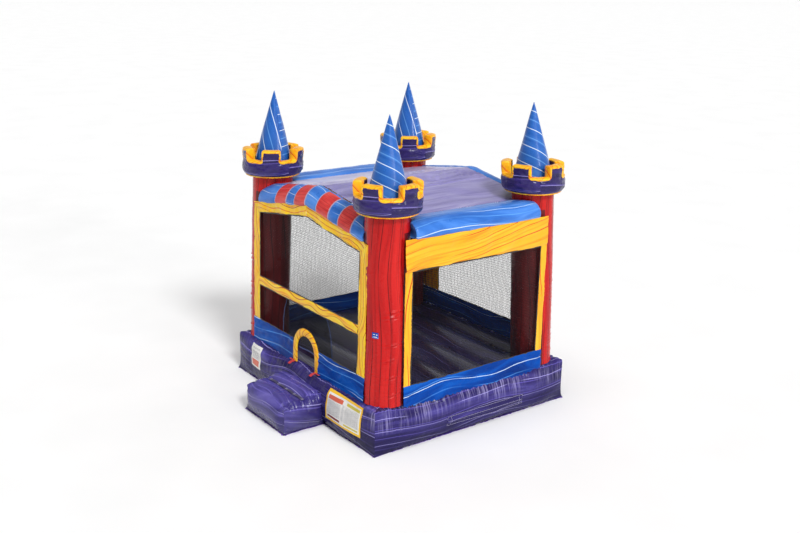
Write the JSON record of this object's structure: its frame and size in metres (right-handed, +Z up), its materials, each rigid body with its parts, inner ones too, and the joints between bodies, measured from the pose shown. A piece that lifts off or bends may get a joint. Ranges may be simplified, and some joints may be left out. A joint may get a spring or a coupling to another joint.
{
  "type": "inflatable bounce house",
  "caption": "Inflatable castle bounce house: a puffed base and entry step, corner towers with crowns and cones, netted walls, arched door and gabled roof.",
  "frame": {"origin": "centre of the base's underside, on the ground", "axes": "+Z up; +X to the right of someone facing the door; the door wall faces -Y and the air inlet +Y"},
  "size_m": [4.114, 4.712, 4.6693],
  "materials": {
    "purple_vinyl": "satin PVC-coated polyester, deep violet with lavender swirls",
    "roof_vinyl": "satin PVC-coated polyester, violet",
    "red_vinyl": "satin PVC-coated polyester, red with dark grain lines",
    "yellow_vinyl": "satin PVC-coated polyester, yellow with orange streaks",
    "blue_vinyl": "satin PVC-coated polyester, blue with white lines",
    "cone_vinyl": "satin PVC-coated polyester, mid blue with white lines",
    "net_mesh": "black knotted netting",
    "webbing": "woven nylon webbing",
    "zip_fabric": "woven zip tape with plastic coil",
    "label_vinyl": null,
    "zinc_steel": "zinc plated"
  },
  "bodies": {
    "house": {"base_skin": "purple_vinyl", "base_baffle_1": "purple_vinyl", "base_baffle_2": "purple_vinyl", "base_baffle_3": "purple_vinyl", "base_baffle_4": "purple_vinyl", "base_baffle_5": "purple_vinyl", "step_skin": "purple_vinyl", "crown_wall_left_front": "purple_vinyl", "crown_wall_right_front": "purple_vinyl", "crown_wall_right_back": "purple_vinyl", "crown_wall_left_back": "purple_vinyl", "inlet_sleeve": "purple_vinyl", "roof_left": "roof_vinyl", "roof_right": "roof_vinyl", "column_left_front": "red_vinyl", "column_right_front": "red_vinyl", "column_right_back": "red_vinyl", "column_left_back": "red_vinyl", "door_tab_left": "red_vinyl", "door_tab_right": "red_vinyl", "crown_lining_left_front": "yellow_vinyl", "crown_lining_right_front": "yellow_vinyl", "crown_lining_right_back": "yellow_vinyl", "crown_lining_left_back": "yellow_vinyl", "front_frame": "yellow_vinyl", "back_frame": "yellow_vinyl", "left_frame": "yellow_vinyl", "right_frame": "yellow_vinyl", "door_trim": "yellow_vinyl", "beam_front": "blue_vinyl", "beam_back": "blue_vinyl", "beam_left": "blue_vinyl", "beam_right": "blue_vinyl", "band_front_left": "blue_vinyl", "band_front_right": "blue_vinyl", "band_back": "blue_vinyl", "band_left": "blue_vinyl", "band_right": "blue_vinyl", "turret_cone_left_front": "cone_vinyl", "turret_cone_right_front": "cone_vinyl", "turret_cone_right_back": "cone_vinyl", "turret_cone_left_back": "cone_vinyl", "net_front_upper": "net_mesh", "net_front_lower": "net_mesh", "net_back": "net_mesh", "net_left": "net_mesh", "net_right": "net_mesh", "step_strap": "webbing", "inlet_strap": "webbing", "anchor_tab_left": "webbing", "anchor_tab_right": "webbing", "zip_tape": "zip_fabric", "rules_panel": "label_vinyl", "info_label": "label_vinyl"},
    "door_curtain": {"door_flap": "net_mesh"},
    "zip_flap": {"zip_cover": "purple_vinyl"},
    "zip_runner": {"zip_slider": "zinc_steel"},
    "ring_left": {"anchor_ring_left": "zinc_steel"},
    "ring_right": {"anchor_ring_right": "zinc_steel"}
  },
  "joints": [
    {"name": "curtain_swing", "type": "hinge", "parent": "house", "child": "door_curtain", "pos_m": [0, -1.69, 1.6], "axis": [1, 0, 0], "range_deg": [0, 75]},
    {"name": "zip_flap_lift", "type": "hinge", "parent": "house", "child": "zip_flap", "pos_m": [2.0625, 0.1675, 0.31], "axis": [0, -1, 0], "range_deg": [0, 100]},
    {"name": "zip_run", "type": "slide", "parent": "house", "child": "zip_runner", "axis": [0, 1, 0], "range_m": [0, 1.31]},
    {"name": "ring_left_swing", "type": "hinge", "parent": "house", "child": "ring_left", "pos_m": [-1.5, 1.866, 0.15], "axis": [1, 0, 0], "range_deg": [0, 100]},
    {"name": "ring_right_swing", "type": "hinge", "parent": "house", "child": "ring_right", "pos_m": [1.5, 1.866, 0.15], "axis": [1, 0, 0], "range_deg": [0, 100]}
  ]
}
